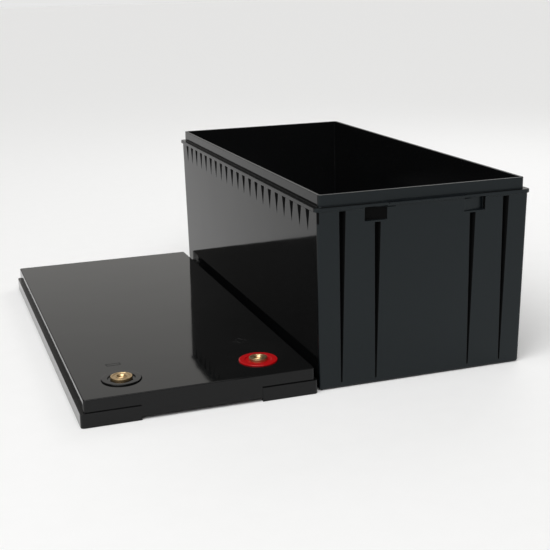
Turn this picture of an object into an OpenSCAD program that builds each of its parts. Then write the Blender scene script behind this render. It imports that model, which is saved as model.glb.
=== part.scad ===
// Storage battery pack in a ribbed moulded case, opened, with its lid beside it.
// Millimetres, +Z up. The origin is the centre of the container's underside.
// +Y runs along the length, away from the terminal end. The lid lies on the -X side.

/* [Case] */
// Overall width of the case over the ledge and the lid
case_width = 240; // [236:1:244]
// Overall length of the case over the lid
case_length = 522; // [518:1:526]
// Overall height of the case with the lid on
case_height = 218; // [214:1:224]
// Width of the container at its underside
base_width = 231; // [229:0.5:232]
// Width of the container at the neck
neck_width = 229; // [228:0.5:230]
// Length of the container at its underside and at the neck
neck_length = 510; // [508:0.5:511]
// Height of the neck that stands up inside the lid
neck_height = 12; // [11:0.5:12]
// Wall thickness at the neck
neck_wall = 3.2; // [2.8:0.1:3.4]
// Thickness of the container's floor
floor_thickness = 3.5; // [3:0.1:3.5]
// How far the long walls lean out between the underside and the ledge
side_lean = 1.75; // [1.5:0.05:2]
// How far the short walls lean out between the underside and the ledge
end_lean = 4; // [3.8:0.1:4]
// Thickness of the ledge under the neck
ledge_thickness = 4; // [3.5:0.5:4]

/* [Case details] */
// Number of wedge-shaped pockets along each long wall
wedge_count = 21; // [3:1:21]
// Distance from one wedge-shaped pocket to the next
wedge_pitch = 23.2; // [20:0.1:23.4]
// Width of a wedge-shaped pocket at its top
wedge_width = 11.5; // [6:0.5:12]
// Height of a wedge-shaped pocket
wedge_height = 25; // [18:0.5:28]
// Depth of a wedge-shaped pocket at its top
wedge_depth = 3.2; // [2:0.1:3.4]
// Distance of the inner tapered grooves from the middle of the short wall
inner_groove_x = 53; // [50:0.5:56]
// Distance of the outer tapered grooves from the middle of the short wall
outer_groove_x = 91; // [86:0.5:94]
// Width of a tapered groove at its top
groove_width = 7; // [5:0.5:8]
// Width of the strap pockets in the short walls
pocket_width = 24; // [20:1:26]
// Height of the strap pockets
pocket_height = 14; // [12:1:16]
// Distance of a strap pocket's centre from the middle of the short wall
pocket_x = 55; // [54:0.5:57]

/* [Lid] */
// Height of the lid
lid_height = 28; // [26:0.5:30]
// Height of the lid's wider lower band
band_height = 14.5; // [14:0.5:15.5]
// How far the lower band stands out from the upper band on the long sides
band_step = 3.6; // [3:0.1:4]
// How far the lower band stands out from the upper band on the short sides
end_step = 0.8; // [0.5:0.1:1]
// Thickness of the lid's top plate
lid_plate = 3.5; // [3:0.1:3.5]
// Middle of the lid from the middle of the container, sideways
lid_x = -238.5; // [-300:0.5:-238.5]
// Middle of the lid from the middle of the container, lengthways
lid_y = 1; // [-20:1:20]

/* [Terminals] */
// Distance of a terminal from the lid's middle, sideways
terminal_x = 71; // [60:0.5:80]
// Distance of a terminal from the lid's end
terminal_inset = 44; // [36:1:60]
// Diameter of a terminal collar
collar_diameter = 40; // [36:1:42]
// Diameter of the negative insert's face
negative_face_diameter = 22; // [18:0.5:24]
// Diameter of the positive insert's face
positive_face_diameter = 19; // [18:0.5:24]
// Diameter of the inserts' threaded hole, the core of an M8 thread
thread_core_diameter = 6.8; // [6.6:0.1:6.9]

/* [Cells] */
// Number of cells in the block
cell_count = 16; // [4:4:16]
// Cells side by side in each parallel group
group_size = 4; // [4:1:4]
// Length of a cell, across the case
cell_length = 148; // [146:0.5:148]
// Thickness of a cell, along the case
cell_thickness = 27; // [26:0.5:27]
// Height of a cell's can
cell_height = 98; // [90:1:98]
// Thickness of the separators between the cells
separator_thickness = 0.5; // [0.3:0.1:0.5]
// Middle of the cell block from the middle of the case, sideways
block_x = -34; // [-34:0.5:-33]

/* [Hidden] */
$fn = 64;
eps = 0.01;

// container heights and corner radii
ledge_top = case_height - lid_height;
ledge_base = ledge_top - ledge_thickness;
neck_top = ledge_top + neck_height;
ledge_length = 519;
ledge_radius = 5;
neck_radius = 3.5;
body_radius = 3;
inside_radius = 2;
hull_fn = 32;
inside_width = neck_width - 2 * neck_wall;
inside_length = neck_length - 2 * neck_wall;
body_top_width = base_width + 2 * side_lean;
body_top_length = neck_length + 2 * end_lean;

// wedge-shaped pockets, tapered grooves and strap pockets
wedge_top = ledge_base;
groove_apex_y = neck_length / 2 - 1;
groove_top = ledge_base - 1;
inner_groove_top = ledge_base - pocket_height - 1;
groove_base = 6;
pocket_top = ledge_base + 1;
pocket_deep = 5.2;
pocket_shallow = 1.5;
left_slot_x = [-60, -34];
right_slot_x = [44, 66];
left_keyhole_x = -43.5;
right_keyhole_x = 45;
slot_width = 2.6;
slot_inset = 0.8;
keyhole_length = 9.5;
keyhole_width = 3.3;
slot_drop = 4.5;
lip_reach = 1.5;
lip_thickness = 2;
lip_from_x = -41;
lip_to_x = 45;

// lid insides
lid_radius = 4;
upper_radius = 3;
neck_clearance = 0.7;
socket_gap = 0.4;
socket_height = neck_height + socket_gap;
socket_width = neck_width + 2 * neck_clearance;
socket_length = neck_length + 2 * neck_clearance;
socket_step = 2;
upper_inside_width = neck_width - 2 * socket_step;
upper_inside_length = neck_length - 2 * socket_step;
plate_base = lid_height - lid_plate;
tab_half_width = 61;
tab_rise = 3.5;
tab_depth = 20;
seam_groove = 1;
rib_thickness = 2;
rib_depth = 3;
rib_x = 36;
cross_rib_y = [-130, -40, 50, 140];

// terminals, by height above the surface that the lid lies on
terminal_y = -case_length / 2 + terminal_inset;
collar_seat = lid_height - 2.5;
collar_top = lid_height + 1.4;
dish_floor = lid_height + 0.2;
dish_radius = 13.5;
face_top = lid_height + 3.4;
shank_radius = 7;
shank_base = 9.5;
thread_base = 14;
core_radius = thread_core_diameter / 2;
mouth_chamfer = 0.6;
boss_radius = 23;
boss_base = plate_base - 3;
shank_clearance = 0.2;
bore_radius = shank_radius + shank_clearance;
seal_major = 11.3;
seal_minor = 0.9;
seal_groove_half = 1.4;
seal_groove_depth = 1.9;
washer_radius = 13;
washer_thickness = 1.5;
nut_across_flats = 22;
nut_height = 7.5;
mark_length = 14;
mark_width = 5.2;
mark_line = 0.9;
mark_depth = 0.5;
minus_offset = 44;
plus_offset = 66;

// cell block
pad_thickness = 2;
cell_base = floor_thickness + pad_thickness;
cell_top = cell_base + cell_height;
cell_pitch = cell_thickness + separator_thickness;
block_length = cell_count * cell_pitch - separator_thickness;
first_cell_y = -block_length / 2 + cell_thickness / 2;
post_x = 52;
post_radius = 7;
post_height = 3;
stud_radius = 3;
stud_length = 7.5;
stud_top = cell_top + post_height + stud_length;
can_radius = 2;
vent_radius = 5;
vent_depth = 0.4;
separator_margin = 2;
plate_thickness = 8;
plate_radius = 1.5;
plate_drop = 4;
plate_end = block_length / 2 + plate_thickness;
band_thickness = 0.8;
band_width = 15;
lower_band_base = 25;
upper_band_base = 70;
bar_thickness = 2;
bar_width = 20;
bar_base = cell_top + post_height;
bar_top = bar_base + bar_thickness;
bus_nut_flats = 10;
bus_nut_height = 5;
bus_nut_flange_radius = 6.2;
bus_nut_flange_height = 1.2;
stud_clearance = 0.2;
thread_clearance = 0.05;
link_hole_radius = 2.6;
foam_clearance = 0.1;
foam_margin = 2;
block_right = block_x + cell_length / 2;
block_left = block_x - cell_length / 2;
cover_thickness = 1.3;
cover_gap = 1;
cover_top = stud_top + cover_gap + cover_thickness;
foam_height = 92;

// protection board beside the cell block, standing on edge
bms_plate_x = block_right + 1;
bms_plate_thickness = 2;
spacer_length = 6;
board_x = bms_plate_x + bms_plate_thickness + spacer_length;
board_thickness = 1.6;
board_face_x = board_x + board_thickness;
board_y = [-190, -20];
board_z = [18, 84];
plate_margin = 6;
spacer_inset = 7;
spacer_across_flats = 7;
screw_radius = 1.5;
screw_head_radius = 2.8;
screw_head_height = 2.2;
screw_socket_radius = 1.3;
screw_gap = 0.5;
transistor_size = [4.4, 10, 15];
transistor_count = 10;
transistor_rise = 4;
transistor_row_pitch = 20;
sink_base_thickness = 3;
sink_x = board_face_x + transistor_size[0];
sink_y = [-176, -52];
sink_z = [26, 68];
fin_count = 9;
fin_height = 16;
fin_thickness = 1.6;
link_y = -165;
link_width = 13;
link_end_z = 71;
link_screw_z = link_end_z + 5;
link_end_margin = 7;
link_screw_radius = 2.5;
link_head_flats = 8;
link_head_height = 3;
top_screw_length = 6;
board_screw_length = 7;
socket_size = [8, 7, 28];
socket_wall = 1;
socket_y = board_y[1] - 22;
socket_z = 34;

// A rectangle with round corners, centred on the origin
module round_rectangle(size_x, size_y, radius) {
    square([size_x - 2 * radius, size_y], center = true);
    square([size_x, size_y - 2 * radius], center = true);
    for (sx = [-1, 1], sy = [-1, 1]) {
        translate([sx * (size_x / 2 - radius), sy * (size_y / 2 - radius)]) circle(r = radius);
    }
}

// A slab with round upright corners, from one height to another
module slab(size_x, size_y, radius, from_z, to_z) {
    translate([0, 0, from_z]) linear_extrude(to_z - from_z) round_rectangle(size_x, size_y, radius);
}

// A block given by its lowest and highest corners
module block(low, high) {
    translate(low) cube(high - low);
}

// A tube or disc on the Z axis
module ring(inner, outer, from_z, to_z) {
    translate([0, 0, from_z]) difference() {
        cylinder(r = outer, h = to_z - from_z);
        if (inner > 0) translate([0, 0, -1]) cylinder(r = inner, h = to_z - from_z + 2);
    }
}

// Runs its children at both ends of the case, the far end turned half round
module both_ends() {
    children();
    rotate([0, 0, 180]) children();
}

// The leaning outer body, wider under the ledge than at the floor
module leaning_body() {
    hull() {
        slab(base_width, neck_length, body_radius, 0, eps, $fn = hull_fn);
        slab(body_top_width, body_top_length, body_radius, ledge_base, ledge_base + 1, $fn = hull_fn);
    }
}

// V notch in an upright face at x = 0 with its material on the +X side.
// Its flat top is at z = 0, and it runs out to a point one height lower.
module wedge_notch() {
    reach = 4;
    lean = atan(wedge_depth / wedge_height);
    spread = wedge_width / 2 / (wedge_depth * cos(lean));
    intersection() {
        block([-reach, -2 * wedge_width, -wedge_height - 1], [reach, 2 * wedge_width, 0]);
        translate([0, 0, -wedge_height]) rotate([0, lean, 0]) translate([0, 0, -reach])
            linear_extrude(2 * wedge_height)
                polygon([[0, 0], [-2 * reach, 2 * reach * spread], [-2 * reach, -2 * reach * spread]]);
    }
}

// Row of wedge-shaped pockets under the ledge of the long wall on the -X side
module wedge_row() {
    for (i = [0:wedge_count - 1]) {
        translate([-body_top_width / 2, (i - (wedge_count - 1) / 2) * wedge_pitch, wedge_top]) wedge_notch();
    }
}

// Upright V groove in the short wall: its bottom line is plumb, so it tapers as the wall leans in
module tapered_groove(x, top_z) {
    depth = body_top_length / 2 - groove_apex_y;
    reach = 2;
    half = groove_width / 2 * (depth + reach) / depth;
    translate([x, -groove_apex_y, groove_base]) linear_extrude(top_z - groove_base)
        polygon([[0, 0], [half, -depth - reach], [-half, -depth - reach]]);
}

// Pocket for a carrying strap, deeper towards the corner of the case
module strap_pocket() {
    translate([pocket_x, -body_top_length / 2, pocket_top - pocket_height]) linear_extrude(pocket_height)
        polygon([
            [-pocket_width / 2, -1],
            [pocket_width / 2, -1],
            [pocket_width / 2, pocket_deep],
            [-pocket_width / 2, pocket_shallow]
        ]);
}

// Slot for a strap through the ledge, with a wider end for its knot
module strap_slot(span, key_x) {
    y_in = -neck_length / 2 - slot_inset;
    low_z = ledge_top - slot_drop;
    block([span[0], y_in - slot_width, low_z], [span[1], y_in, ledge_top + 1]);
    block([key_x, y_in - keyhole_width, low_z], [key_x + keyhole_length, y_in, ledge_top + 1]);
}

// Everything cut out of one short end
module end_cuts() {
    for (sx = [-1, 1]) {
        tapered_groove(sx * outer_groove_x, groove_top);
        tapered_groove(sx * inner_groove_x, inner_groove_top);
    }
    strap_pocket();
    mirror([1, 0, 0]) strap_pocket();
    strap_slot(left_slot_x, left_keyhole_x);
    strap_slot(right_slot_x, right_keyhole_x);
}

module container() {
    color([0.10, 0.105, 0.11]) difference() {
        union() {
            leaning_body();
            slab(case_width, ledge_length, ledge_radius, ledge_base, ledge_top);
            slab(neck_width, neck_length, neck_radius, ledge_base, neck_top);
            both_ends() block(
                [lip_from_x, -ledge_length / 2 - lip_reach, ledge_top - lip_thickness],
                [lip_to_x, -ledge_length / 2 + lip_reach, ledge_top]
            );
        }
        slab(inside_width, inside_length, inside_radius, floor_thickness, neck_top + 1);
        both_ends() wedge_row();
        both_ends() end_cuts();
    }
}

module base_pad() {
    color([0.16, 0.16, 0.17])
        block([block_left, -plate_end, floor_thickness], [block_right, plate_end, cell_base]);
}

function cell_y(i) = first_cell_y + (i - 1) * cell_pitch;

// Prismatic cell: can, vent, and two posts with studs
module cell(i) {
    color([0.30, 0.45, 0.62]) translate([block_x, cell_y(i), 0]) {
        difference() {
            slab(cell_length, cell_thickness, can_radius, cell_base, cell_top);
            translate([0, 0, cell_top - vent_depth]) cylinder(r = vent_radius, h = 1);
        }
        for (sx = [-1, 1]) translate([sx * post_x, 0, cell_top]) {
            cylinder(r = post_radius, h = post_height);
            cylinder(r = stud_radius, h = stud_top - cell_top);
        }
    }
}

module cell_separators() {
    color([0.75, 0.62, 0.28]) for (i = [1:cell_count - 1]) {
        y = cell_y(i) + cell_thickness / 2;
        block(
            [block_left + separator_margin, y, cell_base],
            [block_right - separator_margin, y + separator_thickness, cell_top - separator_margin]
        );
    }
}

// Stiff plate that closes one end of the cell block
module end_plate(side) {
    y = side * (block_length / 2 + plate_thickness / 2);
    color([0.72, 0.73, 0.75]) translate([block_x, y, 0])
        slab(cell_length, plate_thickness, plate_radius, cell_base, cell_top - plate_drop);
}

// Flat band round the cells and both end plates
module clamp_band(from_z) {
    color([0.66, 0.67, 0.69]) translate([block_x, 0, from_z]) difference() {
        slab(cell_length + 2 * band_thickness, 2 * (plate_end + band_thickness), plate_radius, 0, band_width);
        slab(cell_length, 2 * plate_end, plate_radius, -1, band_width + 1);
    }
}

// Busbar over the posts of a run of cells on one side of the block
module busbar(side, first, last) {
    bar_x = block_x + side * post_x;
    color([0.82, 0.80, 0.74]) difference() {
        block(
            [bar_x - bar_width / 2, cell_y(first) - bar_width / 2, bar_base],
            [bar_x + bar_width / 2, cell_y(last) + bar_width / 2, bar_top]
        );
        for (i = [first:last]) translate([bar_x, cell_y(i), bar_base - 1])
            cylinder(r = stud_radius + stud_clearance, h = bar_thickness + 2);
        if (side == 1 && first == 1) translate([bar_x, link_y, bar_base - 1])
            cylinder(r = link_hole_radius, h = bar_thickness + 2);
    }
}

module busbar_nuts() {
    color([0.78, 0.78, 0.80]) for (i = [1:cell_count], side = [-1, 1])
        translate([block_x + side * post_x, cell_y(i), bar_top]) difference() {
            union() {
                cylinder(r = bus_nut_flats / 2 / cos(30), h = bus_nut_height, $fn = 6);
                cylinder(r = bus_nut_flange_radius, h = bus_nut_flange_height);
            }
            translate([0, 0, -1]) cylinder(r = stud_radius + thread_clearance, h = bus_nut_height + 2);
        }
}

// Foam that fills the space between an end plate and the short wall
module foam_end(side) {
    near = plate_end + band_thickness + foam_clearance;
    far = inside_length / 2 - foam_clearance;
    low_y = side > 0 ? near : -far;
    color([0.13, 0.13, 0.14])
        block(
            [block_left, low_y, floor_thickness],
            [block_right, low_y + far - near, floor_thickness + foam_height]
        );
}

module foam_left() {
    color([0.13, 0.13, 0.14]) block(
        [-inside_width / 2 + foam_clearance, -block_length / 2, lower_band_base + band_width + foam_margin],
        [block_left, block_length / 2, upper_band_base - foam_margin]
    );
}

// Insulating channel over the busbars, standing on the cells' outer edges
module busbar_cover() {
    end_y = block_length / 2;
    color([0.09, 0.09, 0.10]) difference() {
        block([block_left, -end_y, cell_top], [block_right, end_y, cover_top]);
        block(
            [block_left + cover_thickness, -end_y - 1, cell_top - 1],
            [block_right - cover_thickness, end_y + 1, cover_top - cover_thickness]
        );
        block(
            [block_right - 2 * cover_thickness, link_y - link_width / 2 - cover_gap, cell_top - 1],
            [block_right + 1, link_y + link_width / 2 + cover_gap, stud_top]
        );
    }
}

module bms_plate() {
    color([0.20, 0.34, 0.24]) block(
        [bms_plate_x, board_y[0] - plate_margin, board_z[0] - plate_margin],
        [bms_plate_x + bms_plate_thickness, board_y[1] + plate_margin, board_z[1] + plate_margin]
    );
}

// Runs its children at the board's four fixing holes, along +X
module at_board_corners(x) {
    for (iy = [0, 1], iz = [0, 1]) {
        y = board_y[iy] + (1 - 2 * iy) * spacer_inset;
        z = board_z[iz] + (1 - 2 * iz) * spacer_inset;
        translate([x, y, z]) rotate([0, 90, 0]) children();
    }
}

module bms_spacers() {
    color([0.80, 0.68, 0.35]) at_board_corners(bms_plate_x + bms_plate_thickness) difference() {
        cylinder(r = spacer_across_flats / 2 / cos(30), h = spacer_length, $fn = 6);
        translate([0, 0, -1]) cylinder(r = screw_radius + thread_clearance, h = spacer_length + 2);
    }
}

module bms_board() {
    color([0.08, 0.30, 0.16]) difference() {
        block([board_x, board_y[0], board_z[0]], [board_face_x, board_y[1], board_z[1]]);
        at_board_corners(board_x - 1) cylinder(r = screw_radius + stud_clearance, h = board_thickness + 2);
        translate([board_x - 1, link_y, link_screw_z]) rotate([0, 90, 0])
            cylinder(r = link_hole_radius, h = board_thickness + 2);
    }
}

module bms_transistors() {
    step = (sink_y[1] - sink_y[0]) / transistor_count;
    color([0.10, 0.10, 0.11]) for (i = [0:transistor_count - 1], row = [0, 1]) {
        y = sink_y[0] + (i + 0.5) * step - transistor_size[1] / 2;
        z = sink_z[0] + transistor_rise + row * transistor_row_pitch;
        translate([board_face_x, y, z]) cube(transistor_size);
    }
}

module bms_heatsink() {
    pitch = (sink_z[1] - sink_z[0] - fin_thickness) / (fin_count - 1);
    fin_x = sink_x + sink_base_thickness;
    color([0.62, 0.63, 0.65]) {
        block([sink_x, sink_y[0], sink_z[0]], [fin_x, sink_y[1], sink_z[1]]);
        for (i = [0:fin_count - 1]) block(
            [fin_x - eps, sink_y[0], sink_z[0] + i * pitch],
            [fin_x + fin_height, sink_y[1], sink_z[0] + i * pitch + fin_thickness]
        );
    }
}

// Open-topped housing for the cell-sensing plug
module bms_socket() {
    color([0.90, 0.89, 0.84]) translate([board_face_x, socket_y, socket_z]) difference() {
        cube(socket_size);
        translate([socket_wall, socket_wall, socket_wall])
            cube(socket_size - [0, 2 * socket_wall, 2 * socket_wall]);
    }
}

module bms_screws() {
    length = board_thickness + spacer_length - screw_gap;
    color([0.70, 0.70, 0.72]) at_board_corners(board_face_x - length) {
        cylinder(r = screw_radius, h = length);
        translate([0, 0, length]) difference() {
            cylinder(r = screw_head_radius, h = screw_head_height);
            translate([0, 0, 1]) cylinder(r = screw_socket_radius, h = screw_head_height, $fn = 6);
        }
    }
}

// Strap from the pack's negative busbar over the block's edge and down to the board
module bms_link() {
    bar_x = block_x + post_x;
    color([0.80, 0.50, 0.32]) difference() {
        union() {
            block(
                [bar_x - link_end_margin, link_y - link_width / 2, bar_top],
                [board_face_x + bar_thickness, link_y + link_width / 2, bar_top + bar_thickness]
            );
            block(
                [board_face_x, link_y - link_width / 2, link_end_z],
                [board_face_x + bar_thickness, link_y + link_width / 2, bar_top + bar_thickness]
            );
        }
        translate([bar_x, link_y, bar_top - 1]) cylinder(r = link_hole_radius, h = bar_thickness + 2);
        translate([board_face_x - 1, link_y, link_screw_z]) rotate([0, 90, 0])
            cylinder(r = link_hole_radius, h = bar_thickness + 2);
    }
}

// Hexagon screw along +Z with its head's seat at z = 0
module hex_screw(length) {
    translate([0, 0, -length]) cylinder(r = link_screw_radius, h = length);
    cylinder(r = link_head_flats / 2 / cos(30), h = link_head_height, $fn = 6);
}

module link_screws() {
    color([0.74, 0.74, 0.76]) {
        translate([block_x + post_x, link_y, bar_top + bar_thickness]) hex_screw(top_screw_length);
        translate([board_face_x + bar_thickness, link_y, link_screw_z]) rotate([0, 90, 0])
            hex_screw(board_screw_length);
    }
}

// Places its children in the lid's own axes: underside at z = 0, middle at the lid's middle
module at_lid() {
    translate([lid_x, lid_y, 0]) children();
}

// Places its children on a terminal's axis: side is -1 for negative, 1 for positive
module at_terminal(side) {
    at_lid() translate([side * terminal_x, terminal_y, 0]) children();
}

// Outer shape of the lid: upper band, wider lower band, plain tab in the middle of each short side
module lid_outside() {
    upper_width = case_width - 2 * band_step;
    upper_length = case_length - 2 * end_step;
    difference() {
        union() {
            slab(upper_width, upper_length, upper_radius, 0, lid_height);
            slab(case_width, case_length, lid_radius, 0, band_height);
        }
        both_ends() translate([0, -upper_length / 2, 0]) {
            block([-tab_half_width, -case_length, -1], [tab_half_width, 0, band_height + 1]);
            block([-tab_half_width, -case_length, -1], [tab_half_width, tab_depth, tab_rise]);
            for (from_x = [-case_width, tab_half_width]) block(
                [from_x, -case_length, band_height],
                [from_x + case_width - tab_half_width, seam_groove, band_height + seam_groove]
            );
        }
    }
}

module lid_ribs() {
    for (sx = [-1, 1]) block(
        [sx * rib_x - rib_thickness / 2, -upper_inside_length / 2 - 1, plate_base - rib_depth],
        [sx * rib_x + rib_thickness / 2, upper_inside_length / 2 + 1, plate_base + 1]
    );
    for (y = cross_rib_y) block(
        [-upper_inside_width / 2 - 1, y - rib_thickness / 2, plate_base - rib_depth],
        [upper_inside_width / 2 + 1, y + rib_thickness / 2, plate_base + 1]
    );
}

module sign_shape(side, grow) {
    square([mark_length + grow, mark_width + grow], center = true);
    if (side > 0) square([mark_width + grow, mark_length + grow], center = true);
}

// Minus or plus sign, cut as a thin outline into the lid's top behind a terminal
module polarity_mark(side) {
    y = terminal_y + (side > 0 ? plus_offset : minus_offset);
    translate([side * terminal_x, y, lid_height - mark_depth]) linear_extrude(1) difference() {
        sign_shape(side, mark_line);
        sign_shape(side, -mark_line);
    }
}

module lid() {
    color([0.10, 0.105, 0.11]) at_lid() difference() {
        union() {
            difference() {
                lid_outside();
                slab(socket_width, socket_length, neck_radius, -1, socket_height);
                slab(upper_inside_width, upper_inside_length, inside_radius, -1, plate_base);
            }
            lid_ribs();
            for (side = [-1, 1]) translate([side * terminal_x, terminal_y, boss_base])
                cylinder(r = boss_radius, h = plate_base - boss_base + eps);
        }
        for (side = [-1, 1]) {
            translate([side * terminal_x, terminal_y, 0]) {
                translate([0, 0, collar_seat])
                    cylinder(r = collar_diameter / 2 + shank_clearance, h = lid_height);
                cylinder(r = bore_radius, h = 2 * lid_height);
            }
            polarity_mark(side);
        }
    }
}

// Collar round a terminal, sunk into the lid, with a dish for the insert's face
module collar(side, paint) {
    color(paint) at_terminal(side) difference() {
        ring(bore_radius, collar_diameter / 2, collar_seat, collar_top);
        translate([0, 0, dish_floor]) cylinder(r = dish_radius, h = lid_height);
        ring(
            seal_major - seal_groove_half, seal_major + seal_groove_half,
            collar_seat - 1, collar_seat + seal_groove_depth
        );
    }
}

// Threaded brass insert: a round face on a shank that passes down through the lid
module insert(side, face_diameter) {
    color([0.78, 0.62, 0.32]) at_terminal(side) difference() {
        union() {
            ring(0, face_diameter / 2, dish_floor, face_top);
            ring(0, shank_radius, shank_base, dish_floor + eps);
        }
        translate([0, 0, thread_base]) cylinder(r = core_radius, h = lid_height);
        translate([0, 0, face_top - mouth_chamfer])
            cylinder(r1 = core_radius, r2 = core_radius + 2 * mouth_chamfer, h = 2 * mouth_chamfer);
    }
}

module seal(side) {
    color([0.07, 0.07, 0.07]) at_terminal(side) translate([0, 0, collar_seat + seal_minor + thread_clearance])
        rotate_extrude() translate([seal_major, 0]) circle(r = seal_minor, $fn = 24);
}

module washer(side) {
    color([0.72, 0.72, 0.74]) at_terminal(side)
        ring(bore_radius, washer_radius, boss_base - washer_thickness, boss_base);
}

module nut(side) {
    top_z = boss_base - washer_thickness;
    color([0.78, 0.62, 0.32]) at_terminal(side) translate([0, 0, top_z - nut_height]) difference() {
        cylinder(r = nut_across_flats / 2 / cos(30), h = nut_height, $fn = 6);
        translate([0, 0, -1]) cylinder(r = shank_radius + thread_clearance, h = nut_height + 2);
    }
}

container();
base_pad();
for (i = [1:cell_count]) cell(i);
cell_separators();
end_plate(-1);  // end_plate_front
end_plate(1);  // end_plate_rear
clamp_band(lower_band_base);  // clamp_band_lower
clamp_band(upper_band_base);  // clamp_band_upper
busbar(1, 1, group_size);  // busbar_negative
busbar(-1, 1, 2 * group_size);  // busbar_1_2
busbar(1, group_size + 1, 3 * group_size);  // busbar_2_3
busbar(-1, 2 * group_size + 1, 4 * group_size);  // busbar_3_4
busbar(1, 3 * group_size + 1, 4 * group_size);  // busbar_positive
busbar_nuts();
foam_end(-1);  // foam_front
foam_end(1);  // foam_rear
foam_left();
busbar_cover();
bms_plate();
bms_spacers();
bms_board();
bms_transistors();
bms_heatsink();
bms_socket();
bms_screws();
bms_link();
link_screws();
lid();
collar(-1, [0.08, 0.08, 0.085]);  // collar_negative
collar(1, [0.72, 0.06, 0.07]);  // collar_positive
insert(-1, negative_face_diameter);  // insert_negative
insert(1, positive_face_diameter);  // insert_positive
seal(-1);  // seal_negative
seal(1);  // seal_positive
washer(-1);  // washer_negative
washer(1);  // washer_positive
nut(-1);  // nut_negative
nut(1);  // nut_positive
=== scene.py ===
"""Looks for an opened storage battery: moulded case, lid with brass terminals, and the cell block inside."""
import math

import bmesh
import bpy
from bpy.props import FloatProperty, FloatVectorProperty, IntProperty, PointerProperty
from mathutils import Matrix, Vector


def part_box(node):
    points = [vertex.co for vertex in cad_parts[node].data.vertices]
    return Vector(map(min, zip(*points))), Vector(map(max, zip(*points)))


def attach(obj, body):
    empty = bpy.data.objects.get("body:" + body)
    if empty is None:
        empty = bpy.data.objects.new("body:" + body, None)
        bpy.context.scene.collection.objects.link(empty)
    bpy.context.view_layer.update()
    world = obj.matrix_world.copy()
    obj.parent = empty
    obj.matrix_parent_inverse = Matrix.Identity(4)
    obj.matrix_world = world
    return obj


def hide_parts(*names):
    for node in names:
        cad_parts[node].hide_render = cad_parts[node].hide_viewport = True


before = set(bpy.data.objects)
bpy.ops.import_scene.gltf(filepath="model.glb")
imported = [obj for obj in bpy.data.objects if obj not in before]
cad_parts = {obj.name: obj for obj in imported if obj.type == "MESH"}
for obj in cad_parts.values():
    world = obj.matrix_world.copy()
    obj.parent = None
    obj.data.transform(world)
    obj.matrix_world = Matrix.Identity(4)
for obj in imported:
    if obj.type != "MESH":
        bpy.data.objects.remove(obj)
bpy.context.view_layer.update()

bl_info = {
    "name": "Battery pack looks",
    "version": (1, 0, 0),
    "blender": (4, 5, 0),
    "location": "3D View > Sidebar > Battery",
    "description": "Rounded plastic, turned brass and soft light around the packed battery",
    "category": "Object",
}

MM = 0.001
UP = Vector((0, 0, 1))
CELLS = sorted(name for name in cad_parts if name.startswith("cell_") and name[5:].isdigit())


# ---------------------------------------------------------------- sizes and colours a user would change

class CaseLooks(bpy.types.PropertyGroup):
    """Finish of the moulded case and lid."""

    colour: FloatVectorProperty(
        name="Plastic", description="Colour of the black plastic", subtype="COLOR",
        size=3, min=0, max=1, default=(0.0032, 0.0034, 0.0036))
    gloss_roughness: FloatProperty(
        name="Gloss roughness", description="Roughness of the polished walls and the lid",
        min=0, max=1, default=0.055)
    satin_roughness: FloatProperty(
        name="Satin roughness", description="Roughness of the short walls and the neck",
        min=0, max=1, default=0.30)
    edge_radius: FloatProperty(
        name="Edge radius", description="Rounding of the case's sharp edges",
        subtype="DISTANCE", unit="LENGTH", min=0.0001, max=0.001, default=0.0004)
    base_radius: FloatProperty(
        name="Base radius", description="Rounding of the container's lower edge",
        subtype="DISTANCE", unit="LENGTH", min=0.0005, max=0.003, default=0.0028)
    rim_radius: FloatProperty(
        name="Rim radius", description="Rounding of the lid's upper rim",
        subtype="DISTANCE", unit="LENGTH", min=0.0002, max=0.002, default=0.0012)


class TerminalLooks(bpy.types.PropertyGroup):
    """Finish of the terminals."""

    brass: FloatVectorProperty(
        name="Brass", description="Colour of the brass inserts", subtype="COLOR",
        size=3, min=0, max=1, default=(0.60, 0.43, 0.23))
    red: FloatVectorProperty(
        name="Red collar", description="Colour of the positive collar", subtype="COLOR",
        size=3, min=0, max=1, default=(0.42, 0.004, 0.006))
    black: FloatVectorProperty(
        name="Black collar", description="Colour of the negative collar", subtype="COLOR",
        size=3, min=0, max=1, default=(0.0034, 0.0035, 0.0037))
    thread_pitch: FloatProperty(
        name="Thread pitch", description="Pitch of the M8 thread", subtype="DISTANCE",
        unit="LENGTH", min=0.0005, max=0.002, default=0.00125)
    flutes: IntProperty(
        name="Flutes", description="Grip flutes round a collar's dish", min=0, max=90, default=72)


class CellLooks(bpy.types.PropertyGroup):
    """Finish of the cell block and its electronics."""

    film: FloatVectorProperty(
        name="Film", description="Colour of the film round each cell", subtype="COLOR",
        size=3, min=0, max=1, default=(0.018, 0.085, 0.30))
    board: FloatVectorProperty(
        name="Board", description="Colour of the protection board", subtype="COLOR",
        size=3, min=0, max=1, default=(0.010, 0.085, 0.030))
    edge_radius: FloatProperty(
        name="Edge radius", description="Rounding of sheet and machined edges",
        subtype="DISTANCE", unit="LENGTH", min=0.00005, max=0.001, default=0.0003)


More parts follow.
